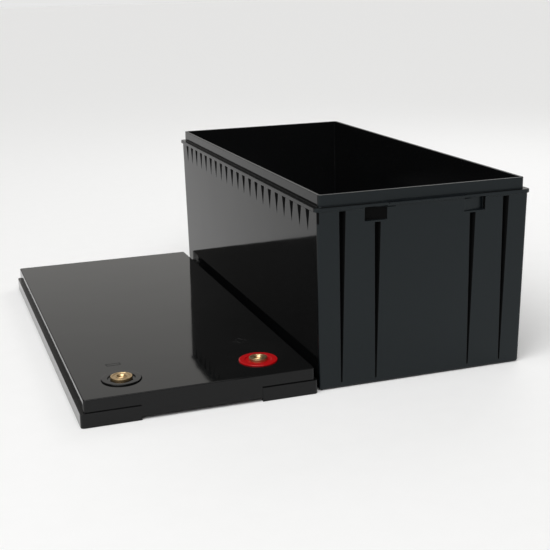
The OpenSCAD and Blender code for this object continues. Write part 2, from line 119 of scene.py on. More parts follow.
class StageLooks(bpy.types.PropertyGroup):
    """Camera, floor and light."""

    camera_place: FloatVectorProperty(
        name="Camera", description="Where the camera stands", subtype="XYZ", unit="LENGTH",
        size=3, default=(-0.4871, -1.2076, 0.4049))
    heading: FloatProperty(
        name="Heading", description="Camera's turn to the right of the length axis",
        subtype="ANGLE", unit="ROTATION", default=0.3303)
    pitch: FloatProperty(
        name="Pitch", description="How far the camera looks down",
        subtype="ANGLE", unit="ROTATION", default=0.2688)
    roll: FloatProperty(
        name="Roll", description="Camera's roll about its own line of sight",
        subtype="ANGLE", unit="ROTATION", default=-0.0226)
    focal_length: FloatProperty(
        name="Focal length", description="Focal length on a 36 mm sensor, in millimetres",
        min=20, max=200, default=70.37)
    floor_size: FloatProperty(
        name="Floor", description="Half the side of the square floor", subtype="DISTANCE",
        unit="LENGTH", min=1, max=40, default=20.0)
    sky: FloatProperty(
        name="Sky", description="Brightness of the pale backdrop", min=0, max=4, default=0.62)
    shade: FloatProperty(
        name="Shade", description="Brightness of the room beside the backdrop", min=0, max=4, default=0.20)
    backdrop: FloatProperty(
        name="Backdrop", description="Brightness of the plain backdrop behind the floor",
        min=0, max=4, default=0.80)
    sun: FloatProperty(
        name="Sun", description="Strength of the broad overhead light", min=0, max=10, default=2.45)


LOOKS = {
    "battery_case": CaseLooks,
    "battery_terminals": TerminalLooks,
    "battery_cells": CellLooks,
    "battery_stage": StageLooks,
}


def looks(name):
    """The settings of one group, with its defaults where nothing was changed."""
    return getattr(bpy.context.scene, name)


# ---------------------------------------------------------------- node trees

class Recipe:
    """Adds nodes to one tree: a socket given as a value is linked, anything else is set."""

    def __init__(self, tree):
        self.tree = tree

    def add(self, kind, inputs=None, **settings):
        node = self.tree.nodes.new(kind)
        for key, value in settings.items():
            setattr(node, key, value)
        for key, value in (inputs or {}).items():
            self.feed(node.inputs[key], value)
        return node

    def feed(self, socket, value):
        if isinstance(value, bpy.types.NodeSocket):
            self.tree.links.new(value, socket)
        else:
            socket.default_value = value

    def math(self, operation, first, second=0.0, clamp=False):
        node = self.add("ShaderNodeMath", {0: first, 1: second}, operation=operation, use_clamp=clamp)
        return node.outputs[0]

    def noise(self, vector, scale, detail=3.0, rough=0.5):
        settings = {"Vector": vector, "Scale": scale, "Detail": detail, "Roughness": rough}
        return self.add("ShaderNodeTexNoise", settings).outputs["Fac"]

    def ramp(self, factor, low, high, to_low=0.0, to_high=1.0):
        settings = {"Value": factor, "From Min": low, "From Max": high, "To Min": to_low, "To Max": to_high}
        return self.add("ShaderNodeMapRange", settings, clamp=True).outputs["Result"]

    def blend(self, factor, first, second):
        node = self.add("ShaderNodeMix", data_type="RGBA")
        self.feed(node.inputs["Factor"], factor)
        self.feed(node.inputs[6], first)
        self.feed(node.inputs[7], second)
        return node.outputs[2]

    def vector(self, operation, first, second=(0, 0, 0), output=0):
        node = self.add("ShaderNodeVectorMath", {0: first, 1: second}, operation=operation)
        return node.outputs[output]

    def place(self):
        return self.add("ShaderNodeTexCoord").outputs["Object"]


def group(name, inputs, outputs, build):
    """A shader node group, made once: inputs are (name, type, default), outputs are (name, type)."""
    if name in bpy.data.node_groups:
        return bpy.data.node_groups[name]
    tree = bpy.data.node_groups.new(name, "ShaderNodeTree")
    for label, kind, default in inputs:
        socket = tree.interface.new_socket(label, in_out="INPUT", socket_type=kind)
        if default is not None:
            socket.default_value = default
    for label, kind in outputs:
        tree.interface.new_socket(label, in_out="OUTPUT", socket_type=kind)
    recipe = Recipe(tree)
    given = recipe.add("NodeGroupInput").outputs
    result = recipe.add("NodeGroupOutput")
    for label, socket in build(recipe, given).items():
        recipe.feed(result.inputs[label], socket)
    return tree


VECTOR, FLOAT = "NodeSocketVector", "NodeSocketFloat"
STREAK_STRETCH = (9.0, 1.0, 3.0)
BRUSH_STRETCH = (0.02, 1.0, 1.0)
CREASE_STRETCH = (1.0, 1.0, 3.0)


def moulded_skin():
    """Height of a moulded surface: slow waves from shrinkage, and a fine grain."""
    def build(r, given):
        slow = r.noise(given["Vector"], given["Wave Scale"], 1.5, 0.4)
        fine = r.noise(given["Vector"], given["Grain Scale"], 2.0, 0.6)
        waves = r.math("MULTIPLY", slow, given["Wave"])
        grain = r.math("MULTIPLY", fine, given["Grain"])
        return {"Height": r.math("ADD", waves, grain)}
    return group("moulded_skin", [
        ("Vector", VECTOR, None), ("Wave Scale", FLOAT, 14.0), ("Grain Scale", FLOAT, 1600.0),
        ("Wave", FLOAT, 1.0), ("Grain", FLOAT, 0.02)], [("Height", FLOAT)], build)


def handling_marks():
    """Mask of smudges and hairline scratches left by handling."""
    def build(r, given):
        smudge = r.ramp(r.noise(given["Vector"], given["Scale"], 5.0, 0.62), 0.44, 0.72)
        streaks = r.vector("MULTIPLY", given["Vector"], STREAK_STRETCH)
        lines = r.ramp(r.noise(streaks, 170.0, 2.0, 0.5), 0.66, 0.74)
        thin = r.math("MULTIPLY", lines, r.ramp(r.noise(given["Vector"], 21.0, 2.0), 0.5, 0.62))
        return {"Smudge": r.math("MULTIPLY", smudge, given["Amount"]),
                "Scratch": r.math("MULTIPLY", thin, given["Amount"])}
    return group("handling_marks", [
        ("Vector", VECTOR, None), ("Scale", FLOAT, 9.0), ("Amount", FLOAT, 1.0)],
        [("Smudge", FLOAT), ("Scratch", FLOAT)], build)


def settled_dust():
    """Mask of fine dust on faces that look up."""
    def build(r, given):
        normal = r.add("ShaderNodeNewGeometry").outputs["Normal"]
        upward = r.ramp(r.add("ShaderNodeSeparateXYZ", {0: normal}).outputs["Z"], 0.6, 1.0)
        specks = r.ramp(r.noise(given["Vector"], 900.0, 1.0), 0.62, 0.70)
        haze = r.ramp(r.noise(given["Vector"], 16.0, 4.0), 0.40, 0.75)
        patch = r.math("ADD", r.math("MULTIPLY", specks, 0.5), r.math("MULTIPLY", haze, 0.5))
        return {"Dust": r.math("MULTIPLY", r.math("MULTIPLY", upward, patch), given["Amount"])}
    return group("settled_dust", [
        ("Vector", VECTOR, None), ("Amount", FLOAT, 0.2)], [("Dust", FLOAT)], build)


def turned_rings():
    """Height of fine rings left by a turning tool round the Z axis of the given vector."""
    def build(r, given):
        flat = r.vector("MULTIPLY", given["Vector"], (1, 1, 0))
        reach = r.vector("LENGTH", flat, output="Value")
        turns = r.math("DIVIDE", reach, given["Pitch"])
        wave = r.math("SINE", r.math("MULTIPLY", turns, 2 * math.pi))
        uneven = r.noise(given["Vector"], 300.0, 2.0)
        return {"Height": r.math("MULTIPLY", wave, uneven)}
    return group("turned_rings", [
        ("Vector", VECTOR, None), ("Pitch", FLOAT, 0.0004)], [("Height", FLOAT)], build)


def brushed_lines():
    """Height of straight brush lines along the X axis of the given vector."""
    def build(r, given):
        long = r.vector("MULTIPLY", given["Vector"], BRUSH_STRETCH)
        return {"Height": r.noise(long, given["Scale"], 3.0, 0.7)}
    return group("brushed_lines", [
        ("Vector", VECTOR, None), ("Scale", FLOAT, 2400.0)], [("Height", FLOAT)], build)


def start_material(name, **sockets):
    """A material with one Principled shader whose constant values are set on its own sockets."""
    material = bpy.data.materials.new(name)
    material.use_nodes = True
    material.node_tree.nodes.clear()
    recipe = Recipe(material.node_tree)
    shader = recipe.add("ShaderNodeBsdfPrincipled")
    output = recipe.add("ShaderNodeOutputMaterial")
    recipe.feed(output.inputs["Surface"], shader.outputs["BSDF"])
    for label, value in sockets.items():
        shader.inputs[label.replace("_", " ")].default_value = value
    return material, recipe, shader


def bump(recipe, shader, height, distance):
    settings = {"Height": height, "Distance": distance, "Strength": 1.0}
    recipe.feed(shader.inputs["Normal"], recipe.add("ShaderNodeBump", settings).outputs["Normal"])


def use(recipe, tree, **inputs):
    """Places a node group and returns its outputs."""
    named = {label.replace("_", " "): value for label, value in inputs.items()}
    return recipe.add("ShaderNodeGroup", named, node_tree=tree).outputs


def rgba(colour, gain=1.0):
    return (*(min(1.0, channel * gain) for channel in colour), 1.0)


def plastic(name, colour, roughness, wave=1.0, grain=0.02, marks=0.5, dust=0.15,
            specular=0.5, tint=(1, 1, 1)):
    """Moulded plastic: slow waves or grain in the skin, smudges in the gloss, and a little dust."""
    material, r, shader = start_material(name, Specular_IOR_Level=specular, Specular_Tint=rgba(tint))
    coords = r.place()
    smudges = use(r, handling_marks(), Vector=coords, Amount=marks)
    dusty = use(r, settled_dust(), Vector=coords, Amount=dust)["Dust"]
    tone = r.blend(r.ramp(r.noise(coords, 5.0, 3.0), 0.3, 0.7), rgba(colour, 0.85), rgba(colour, 1.2))
    tone = r.blend(r.math("MULTIPLY", dusty, 0.06), tone, (0.30, 0.29, 0.27, 1))
    r.feed(shader.inputs["Base Color"], tone)
    rough = r.math("ADD", r.math("MULTIPLY", smudges["Smudge"], 0.05), roughness)
    rough = r.math("ADD", r.math("MULTIPLY", smudges["Scratch"], 0.12), rough)
    rough = r.math("ADD", r.math("MULTIPLY", dusty, 0.12), rough, clamp=True)
    r.feed(shader.inputs["Roughness"], rough)
    skin = use(r, moulded_skin(), Vector=coords, Wave=wave, Grain=grain)["Height"]
    bump(r, shader, skin, 0.00018)
    return material


def metal(name, colour, roughness, height, distance, tarnish):
    """Metal with a machined or brushed skin and uneven tarnish. height makes the skin's height socket."""
    material, r, shader = start_material(name, Metallic=1.0)
    coords = r.place()
    cloud = r.ramp(r.noise(coords, 120.0, 5.0, 0.6), 0.42, 0.75)
    spots = r.ramp(r.noise(coords, 700.0, 3.0, 0.6), 0.60, 0.74)
    worn = r.math("MULTIPLY", r.math("ADD", cloud, spots, clamp=True), tarnish)
    r.feed(shader.inputs["Base Color"], r.blend(worn, rgba(colour, 1.08), rgba(colour, 0.42)))
    r.feed(shader.inputs["Roughness"], r.math("ADD", r.math("MULTIPLY", worn, 0.35), roughness))
    bump(r, shader, height(r, coords), distance)
    return material


def brushed(name, colour, roughness):
    """Metal with straight brush lines."""
    def lines(r, coords):
        return use(r, brushed_lines(), Vector=coords)["Height"]
    return metal(name, colour, roughness, lines, distance=0.00001, tarnish=0.2)


def turned_brass(name, colour, centre):
    """Brass faced on a lathe: rings round the terminal's own axis."""
    def rings(r, coords):
        return use(r, turned_rings(), Vector=r.vector("SUBTRACT", coords, centre))["Height"]
    return metal(name, colour, 0.34, rings, distance=0.00002, tarnish=0.5)


def foam(name):
    """Closed-cell foam: small bubbles and a soft, torn skin."""
    material, r, shader = start_material(name, Specular_IOR_Level=0.25, Sheen_Weight=0.15)
    coords = r.place()
    cells = r.add("ShaderNodeTexVoronoi", {"Vector": coords, "Scale": 900.0}).outputs["Distance"]
    broad = r.noise(coords, 60.0, 4.0)
    pale = r.math("ADD", r.math("MULTIPLY", cells, 0.6), broad, clamp=True)
    r.feed(shader.inputs["Base Color"], r.blend(pale, (0.018, 0.018, 0.019, 1), (0.055, 0.055, 0.058, 1)))
    r.feed(shader.inputs["Roughness"], r.ramp(broad, 0.3, 0.7, 0.82, 0.95))
    bump(r, shader, r.math("ADD", cells, broad), 0.0006)
    return material


def rubber(name):
    """Nitrile rubber: matt, with a faint bloom."""
    material, r, shader = start_material(name, Specular_IOR_Level=0.35)
    coords = r.place()
    bloom = r.ramp(r.noise(coords, 260.0, 4.0), 0.45, 0.75)
    r.feed(shader.inputs["Base Color"], r.blend(bloom, (0.012, 0.012, 0.012, 1), (0.030, 0.029, 0.028, 1)))
    r.feed(shader.inputs["Roughness"], r.ramp(bloom, 0.0, 1.0, 0.45, 0.65))
    bump(r, shader, bloom, 0.00002)
    return material


def shrink_film(name, colour):
    """Thin film shrunk over a metal can: glossy, with creases and the can's sheen under it."""
    material, r, shader = start_material(name, Coat_Weight=0.35, Coat_Roughness=0.12, Specular_IOR_Level=0.5)
    coords = r.place()
    creases = r.noise(r.vector("MULTIPLY", coords, CREASE_STRETCH), 70.0, 3.0, 0.6)
    tone = r.blend(r.ramp(creases, 0.35, 0.7), rgba(colour, 0.8), rgba(colour, 1.25))
    r.feed(shader.inputs["Base Color"], tone)
    r.feed(shader.inputs["Roughness"], r.ramp(r.noise(coords, 40.0, 3.0), 0.3, 0.7, 0.22, 0.38))
    bump(r, shader, creases, 0.0003)
    return material


def laminate(name, colour):
    """Glass-epoxy sheet: a woven look under a thin resin skin."""
    material, r, shader = start_material(name, Coat_Weight=0.3, Coat_Roughness=0.2)
    coords = r.place()
    threads = {"Vector": coords, "Scale": 1400.0 / 6, "Distortion": 0.6}
    first = r.add("ShaderNodeTexWave", threads, bands_direction="Y")
    second = r.add("ShaderNodeTexWave", threads, bands_direction="Z")
    weave = r.math("MULTIPLY", first.outputs["Fac"], second.outputs["Fac"])
    r.feed(shader.inputs["Base Color"], r.blend(weave, rgba(colour, 0.8), rgba(colour, 1.25)))
    r.feed(shader.inputs["Roughness"], r.ramp(r.noise(coords, 80.0), 0.3, 0.7, 0.30, 0.45))
    bump(r, shader, weave, 0.00002)
    return material


def circuit_board(name, colour):
    """Lacquered circuit board: copper runs that show through the lacquer."""
    material, r, shader = start_material(name, Coat_Weight=0.5, Coat_Roughness=0.1)
    coords = r.place()
    cells = r.add("ShaderNodeTexVoronoi", {"Vector": coords, "Scale": 210.0, "Randomness": 0.9},
                  distance="CHEBYCHEV", feature="F1").outputs["Distance"]
    runs = r.ramp(r.math("ABSOLUTE", r.math("SUBTRACT", cells, 0.34)), 0.02, 0.05, 1.0, 0.0)
    r.feed(shader.inputs["Base Color"], r.blend(runs, rgba(colour), rgba(colour, 2.6)))
    r.feed(shader.inputs["Roughness"], r.ramp(r.noise(coords, 300.0), 0.3, 0.7, 0.25, 0.35))
    bump(r, shader, runs, 0.00004)
    return material


# ---------------------------------------------------------------- mesh tools

TOUCH = 0.001 * MM
WELD = 0.002 * MM
LEVEL = 0.01 * MM
FLAT = math.radians(0.3)


def cut_across(bm, axis, place):
    """Cuts every face along a plane square to an axis, and marks the cut so that it stays."""
    normal = Vector((0, 0, 0))
    normal[axis] = 1.0
    geometry = bm.verts[:] + bm.edges[:] + bm.faces[:]
    made = bmesh.ops.bisect_plane(bm, geom=geometry, dist=TOUCH, plane_co=normal * place, plane_no=normal)
    for part in made["geom_cut"]:
        if isinstance(part, bmesh.types.BMEdge):
            part.seam = True


def copy_of(node, cuts=()):
    """A bmesh copy of a CAD node, with its loose triangles joined into flat faces.
    Cuts through the node's middle, and at each (axis, place), leave a face with a hole in it
    in simple parts."""
    low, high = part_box(node)
    bm = bmesh.new()
    bm.from_mesh(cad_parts[node].data)
    bmesh.ops.remove_doubles(bm, verts=bm.verts, dist=WELD)
    for axis, place in [*enumerate((low + high) / 2), *cuts]:
        cut_across(bm, axis, place)
    bmesh.ops.dissolve_limit(bm, angle_limit=FLAT, verts=bm.verts, edges=bm.edges, delimit={"SEAM"})
    return bm


def sharp_edges(bm, angle=25, test=None):
    """The edges that turn by more than an angle in degrees and, where one is given, pass a test."""
    limit = math.radians(angle)
    sharp = [edge for edge in bm.edges if edge.is_manifold and edge.calc_face_angle() > limit]
    return [edge for edge in sharp if test is None or test(edge)]


def round_edges(bm, edges, radius, segments=2):
    bmesh.ops.bevel(bm, geom=edges, offset=radius, offset_type="OFFSET", segments=segments, profile=0.5,
                    affect="EDGES", clamp_overlap=False, material=-1)


def midpoint(edge):
    return (edge.verts[0].co + edge.verts[1].co) / 2


def lathe(bm, profile, centre, steps):
    """Spins (radius, height) points once round an upright axis through centre."""
    x, y, z = centre
    verts = [bm.verts.new((x + radius, y, z + height)) for radius, height in profile]
    edges = [bm.edges.new(pair) for pair in zip(verts, verts[1:])]
    bmesh.ops.spin(bm, geom=verts + edges, cent=centre, axis=UP, angle=2 * math.pi, steps=steps,
                   use_merge=True, use_duplicate=False)
    bmesh.ops.remove_doubles(bm, verts=bm.verts, dist=TOUCH)
    bmesh.ops.recalc_face_normals(bm, faces=bm.faces)


def arc(centre, radius, start, stop, steps):
    """Points (radius, height) along an arc in a lathe profile; angles in degrees."""
    angles = [math.radians(start + (stop - start) * i / steps) for i in range(steps + 1)]
    return [(centre[0] + radius * math.cos(a), centre[1] + radius * math.sin(a)) for a in angles]


def add_piece(name, bm, body, materials, node, smooth=40):
    """Turns a bmesh into a finished piece that rides on a body and stands for a CAD node."""
    mesh = bpy.data.meshes.new(name)
    bm.to_mesh(mesh)
    bm.free()
    for material in materials:
        mesh.materials.append(material)
    mesh.shade_smooth()
    mesh.set_sharp_from_angle(angle=math.radians(smooth))
    piece = bpy.data.objects.new(name, mesh)
    bpy.context.scene.collection.objects.link(piece)
    normals = piece.modifiers.new("even_normals", "WEIGHTED_NORMAL")
    normals.keep_sharp = True
    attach(piece, body)
    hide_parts(node)


def dress(node, material):
    """Gives a carried-over CAD node its material."""
    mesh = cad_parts[node].data
    mesh.materials.clear()
    mesh.materials.append(material)


def rounded_node(node, name, body, material, radius, segments=2, cuts=()):
    """A piece shaped as a CAD node, with its sharp edges rounded."""
    bm = copy_of(node, cuts)
    round_edges(bm, sharp_edges(bm), radius, segments)
    add_piece(name, bm, body, [material], node)


# ---------------------------------------------------------------- case and lid

GLOSS, SATIN, PAINTED_SHADE, INSIDE, LID = range(5)
CASE_PLASTICS = ("case_gloss", "case_satin", "case_painted_shade", "case_inside", "lid_gloss")


def case_materials():
    """Polished, satin, painted-shade and inside plastics of the case, in slot order; the painted-shade
    plastic is a darker, duller copy of the case plastic that paints shade into grooves and pockets.
    """
    made = bpy.data.materials
    if CASE_PLASTICS[0] in made:
        return [made[name] for name in CASE_PLASTICS]
    own = looks("battery_case")
    colour = tuple(own.colour)
    cool = (0.8 * colour[0], 1.1 * colour[1], 1.35 * colour[2])
    painted_shade_colour = tuple(0.4 * channel for channel in colour)
    return [
        plastic("case_gloss", colour, own.gloss_roughness, wave=1.0, grain=0.0, marks=0.4, specular=0.12),
        plastic("case_satin", cool, own.satin_roughness, wave=0.5, grain=0.03, marks=0.6, specular=0.32,
                tint=(0.86, 0.97, 1.0)),
        # Painted shade: the case plastic at 0.4 of its colour, duller and barely reflective, for grooves and
        # pockets
        plastic("case_painted_shade", painted_shade_colour, 0.45, wave=0.2, grain=0.04, specular=0.06),
        plastic("case_inside", colour, 0.22, wave=1.2, grain=0.02, specular=0.35),
        plastic("lid_gloss", colour, own.gloss_roughness, wave=1.0, grain=0.0, marks=0.5, specular=0.26),
    ]


# Where the container's plastics change, from its neck, its rim and the middle of each wall.
# The zones round the pockets are a little larger than the pockets.
# The grooves, the wedge pockets and the strap pocket floors that face away from the light get painted shade.
LEDGE_OVERHANG = Vector((5.5, 6.0)) * MM
LEDGE_DROP = 15.9 * MM
INSIDE_DEPTH = 2.4 * MM
FLOOR_LEVEL = 2 * MM
END_GROOVES = 4 * MM
CORNER_WIDTH = 20 * MM
STRAP_POCKET = (40 * MM, 70 * MM)
STRAP_POCKET_HEIGHT = 14 * MM
WEDGE_DEPTH = 2 * MM
WEDGE_HEIGHT = 26 * MM


def case_region(face, high):
    """Which plastic a face of the container has, from where it is and which way it looks; groove sides, wedge
    pockets and the strap pocket floors turned away from the light get painted shade.
    beside and beyond are how far it lies outside the neck's long and short walls."""
    centre = face.calc_center_median()
    x, y, depth = abs(centre.x), abs(centre.y), high.z - centre.z
    across, along = abs(face.normal.x), abs(face.normal.y)
    beside = x - (high.x - LEDGE_OVERHANG.x)
    beyond = y - (high.y - LEDGE_OVERHANG.y)
    within = beside < -INSIDE_DEPTH and beyond < -INSIDE_DEPTH
    if within and centre.z > FLOOR_LEVEL and depth > 0.1 * MM:
        return INSIDE
    on_end = beyond > -END_GROOVES and along > 0.1
    # Painted shade: the groove sides, and only the strap pocket floors that face away from the light, get the
    # dark plastic.
    groove_in_shade = across > 0.3 and x < high.x - CORNER_WIDTH
    in_strap = STRAP_POCKET[0] < x < STRAP_POCKET[1] and LEDGE_DROP < depth < LEDGE_DROP + STRAP_POCKET_HEIGHT
    strap_floor_in_shade = in_strap and 0.05 < across < 0.3 and face.normal.x * centre.y > 0
    if on_end and (groove_in_shade or strap_floor_in_shade):
        return PAINTED_SHADE
    # Painted shade: the wedge-shaped pockets under the ledge get the dark plastic.
    wedge_in_shade = beside > -WEDGE_DEPTH and LEDGE_DROP < depth < LEDGE_DROP + WEDGE_HEIGHT
    if wedge_in_shade and 0.2 < along < 0.95:
        return PAINTED_SHADE
    return GLOSS if across > 0.9 else SATIN


# Extra cuts through the strap pockets and the wedge-shaped pockets
CUT_SIDE = 47 * MM
CUT_DROP = 12 * MM
CUT_STEP = 8 * MM


class BATTERY_OT_container(bpy.types.Operator):
    """Make the moulded container with rounded edges"""

    bl_idname = "battery.container"
    bl_label = "Container"

    def execute(self, context):
        own = looks("battery_case")
        low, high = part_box("container")
        level = high.z - LEDGE_DROP - CUT_DROP
        bm = copy_of("container", [(0, -CUT_SIDE), (0, CUT_SIDE), (2, level), (2, level + CUT_STEP)])
        for face in bm.faces:
            face.material_index = case_region(face, high)

        def base_rim(edge):
            return midpoint(edge).z < low.z + LEVEL

        round_edges(bm, sharp_edges(bm, test=base_rim), own.base_radius, 5)
        round_edges(bm, sharp_edges(bm, angle=27), own.edge_radius)
        add_piece("container_shell", bm, "case", case_materials(), "container")
        return {"FINISHED"}


# Distances from the lid's middle, beyond which an edge is its rim and within which a face is inside
LID_RIM = (105 * MM, 245 * MM)
LID_INSIDE = (116 * MM, 257 * MM)
LID_TOP = 4 * MM


class BATTERY_OT_lid(bpy.types.Operator):
    """Make the lid with a rounded upper rim"""

    bl_idname = "battery.lid"
    bl_label = "Lid"

    def execute(self, context):
        own = looks("battery_case")
        low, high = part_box("lid")
        middle = (low + high) / 2
        terminal = axis_of("insert_positive") - middle
        sides = [(0, middle.x + terminal.x), (0, middle.x - terminal.x)]
        bm = copy_of("lid", [*sides, (1, middle.y + terminal.y)])

        def upper_rim(edge):
            place = midpoint(edge)
            outer = abs(place.x - middle.x) > LID_RIM[0] or abs(place.y - middle.y) > LID_RIM[1]
            return outer and abs(place.z - high.z) < LEVEL

        for face in bm.faces:
            centre = face.calc_center_median()
            hollow = face.normal.z < -0.5 or centre.z < high.z - LID_TOP
            inner = abs(centre.x - middle.x) < LID_INSIDE[0] and abs(centre.y - middle.y) < LID_INSIDE[1]
            face.material_index = INSIDE if hollow and inner else LID
        round_edges(bm, sharp_edges(bm, test=upper_rim), own.rim_radius, 4)
        round_edges(bm, sharp_edges(bm, angle=35), 0.55 * own.edge_radius)
        add_piece("lid_shell", bm, "lid", case_materials(), "lid")
        return {"FINISHED"}


# ---------------------------------------------------------------- terminals

COLLAR_BORE = 7.2 * MM
COLLAR_SOFTNESS = 0.4 * MM
DISH_RADIUS = 13.5 * MM
DISH_DEPTH = 1.2 * MM
FLUTED_LIP = (13.2 * MM, 15.0 * MM)
LIP_HEIGHT = 1.1 * MM
FLUTE_DEPTH = 0.3 * MM
STEPS_PER_FLUTE = 4
INSERT_STEPS = 128
SHANK_RADIUS = 7 * MM
FLANGE_HEIGHT = 3.2 * MM
THREAD_CORE = 3.4 * MM
THREAD_BASE = 14 * MM


def axis_of(node):
    """Where a round node's upright axis meets the ground."""
    low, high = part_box(node)
    return Vector(((low.x + high.x) / 2, (low.y + high.y) / 2, 0))


def collar_profile(low, high, outer):
    """Half section of a terminal collar, from its bore round to its bore again."""
    soft, floor = COLLAR_SOFTNESS, high - DISH_DEPTH
    rim = arc((outer - 2 * soft, high - 2 * soft), 2 * soft, 0, 90, 6)
    lip = arc((DISH_RADIUS + 1.4 * soft, high - soft), soft, 90, 180, 5)
    dish = [(DISH_RADIUS + 0.3 * soft, floor + soft), (DISH_RADIUS - soft, floor), (COLLAR_BORE, floor)]
    return [(COLLAR_BORE, low), (outer, low), (outer, high - 2 * soft), *rim, *lip, *dish, (COLLAR_BORE, low)]


def make_collar(side, material, flutes):
    """Collar with a rounded rim, and grip flutes round the lip of its dish."""
    node = f"collar_{side}"
    low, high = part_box(node)
    centre = axis_of(node)
    bm = bmesh.new()
    lathe(bm, collar_profile(low.z, high.z, (high.x - low.x) / 2), centre, STEPS_PER_FLUTE * flutes)
    for vert in bm.verts:
        away = Vector((vert.co.x - centre.x, vert.co.y - centre.y, 0))
        turn = math.atan2(away.y, away.x) / (2 * math.pi) * flutes
        on_lip = FLUTED_LIP[0] < away.length < FLUTED_LIP[1] and vert.co.z > high.z - LIP_HEIGHT
        if on_lip and abs(turn - round(turn)) < 0.5 / STEPS_PER_FLUTE:
            vert.co += away.normalized() * FLUTE_DEPTH
    add_piece(f"collar_ring_{side}", bm, "lid", [material], node, smooth=50)


def insert_profile(low, high, face_radius, pitch):
    """Half section of a threaded insert: shank, flange with a raised rim, and a threaded hole."""
    rim, bevel = 0.5 * MM, 0.2 * MM
    land, eye, slope, sunk = 2.2 * MM, 2.1 * MM, 0.3 * MM, 0.35 * MM
    mouth, mouth_depth, thread_depth, drill_tip = 1.3 * MM, 1.1 * MM, 0.55 * MM, 0.8 * MM
    flange_low = high - FLANGE_HEIGHT
    section = [(0, low), (SHANK_RADIUS - rim, low), (SHANK_RADIUS, low + rim), (SHANK_RADIUS, flange_low)]
    section += [(face_radius - bevel, flange_low), (face_radius, flange_low + bevel)]
    section += arc((face_radius - rim, high - rim), rim, 0, 90, 4)
    section += [(face_radius - land, high), (face_radius - land - slope, high - sunk)]
    section += [(THREAD_CORE + eye + slope, high - sunk), (THREAD_CORE + eye, high)]
    section += [(THREAD_CORE + mouth, high)]
    z = high - mouth_depth
    section.append((THREAD_CORE + thread_depth, z + bevel))
    while z > THREAD_BASE + 2 * pitch:
        section += [(THREAD_CORE, z - pitch / 2), (THREAD_CORE + thread_depth, z - pitch)]
        z -= pitch
    section += [(THREAD_CORE, THREAD_BASE + pitch / 2), (THREAD_CORE, THREAD_BASE)]
    return [*section, (0, THREAD_BASE - drill_tip)]


def make_insert(side, material, pitch):
    """Brass insert with an M8 thread cut into its hole."""
    node = f"insert_{side}"
    low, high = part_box(node)
    bm = bmesh.new()
    lathe(bm, insert_profile(low.z, high.z, (high.x - low.x) / 2, pitch), axis_of(node), INSERT_STEPS)
    add_piece(f"insert_turned_{side}", bm, "lid", [material], node, smooth=35)


class BATTERY_OT_terminals(bpy.types.Operator):
    """Make the collars, inserts, washers and lock nuts of both terminals"""

    bl_idname = "battery.terminals"
    bl_label = "Terminals"

    def execute(self, context):
        own = looks("battery_terminals")
        red = plastic("collar_red", tuple(own.red), 0.10, wave=1.5, grain=0.0, marks=0.4,
                      dust=0.05, specular=0.3)
        black = plastic("collar_black", tuple(own.black), 0.06, wave=0.6, grain=0.0, marks=0.4,
                        dust=0.1, specular=0.24)
        steel = brushed("washer_zinc", (0.62, 0.62, 0.63), 0.30)
        seal = rubber("seal_nitrile")
        for side, collar, slot in (("negative", black, "collar_black"), ("positive", red, "collar_red")):
            brass = turned_brass(f"brass_{side}", tuple(own.brass), axis_of(f"insert_{side}"))
            make_collar(side, collar, own.flutes)
            make_insert(side, brass, own.thread_pitch)
            rounded_node(f"washer_{side}", f"washer_pressed_{side}", "lid", steel, 0.25 * MM)
            rounded_node(f"nut_{side}", f"lock_nut_{side}", "lid", brass, 0.35 * MM, 3)
            dress(f"seal_{side}", seal)
        return {"FINISHED"}


# ---------------------------------------------------------------- cell block

FILM, POST, STUD = range(3)
POST_TOP = 3.1 * MM
STUD_TOP = 10.5 * MM


class BATTERY_OT_cells(bpy.types.Operator):
    """Make the sixteen cells in their film, with posts and studs"""

    bl_idname = "battery.cells"
    bl_label = "Cells"

    def execute(self, context):
        own = looks("battery_cells")
        film = shrink_film("cell_film", tuple(own.film))
        post = brushed("cell_post", (0.70, 0.71, 0.73), 0.34)
        stud = brushed("stud_steel", (0.56, 0.56, 0.57), 0.28)
        for cell in CELLS:
            can_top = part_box(cell)[1].z - STUD_TOP
            bm = copy_of(cell)
            for face in bm.faces:
                height = face.calc_center_median().z - can_top
                face.material_index = FILM if height < 0.1 * MM else STUD if height > POST_TOP else POST
            round_edges(bm, sharp_edges(bm), own.edge_radius)
            add_piece(f"{cell}_wrapped", bm, "case", [film, post, stud], cell)
        return {"FINISHED"}


FOAM_RADIUS = 0.8 * MM


class BATTERY_OT_clamping(bpy.types.Operator):
    """Make the end plates, clamp bands, separators, foam and base pad"""

    bl_idname = "battery.clamping"
    bl_label = "Clamping and padding"

    def execute(self, context):
        edge = looks("battery_cells").edge_radius
        plate = brushed("plate_aluminium", (0.62, 0.63, 0.65), 0.36)
        band = brushed("band_steel", (0.52, 0.53, 0.55), 0.27)
        dress("cell_separators", laminate("separator_sheet", (0.42, 0.30, 0.09)))
        for side in ("front", "rear"):
            node = f"end_plate_{side}"
            rounded_node(node, f"{node}_machined", "case", plate, edge)
        for level in ("lower", "upper"):
            node = f"clamp_band_{level}"
            rounded_node(node, f"{node}_rolled", "case", band, 0.5 * edge)
        padding = foam("closed_cell_foam")
        for node in ("foam_front", "foam_rear", "foam_left", "base_pad"):
            rounded_node(node, f"{node}_cut", "case", padding, min(3 * edge, FOAM_RADIUS), 3)
        return {"FINISHED"}


NUT_RADIUS = 6.2 * MM


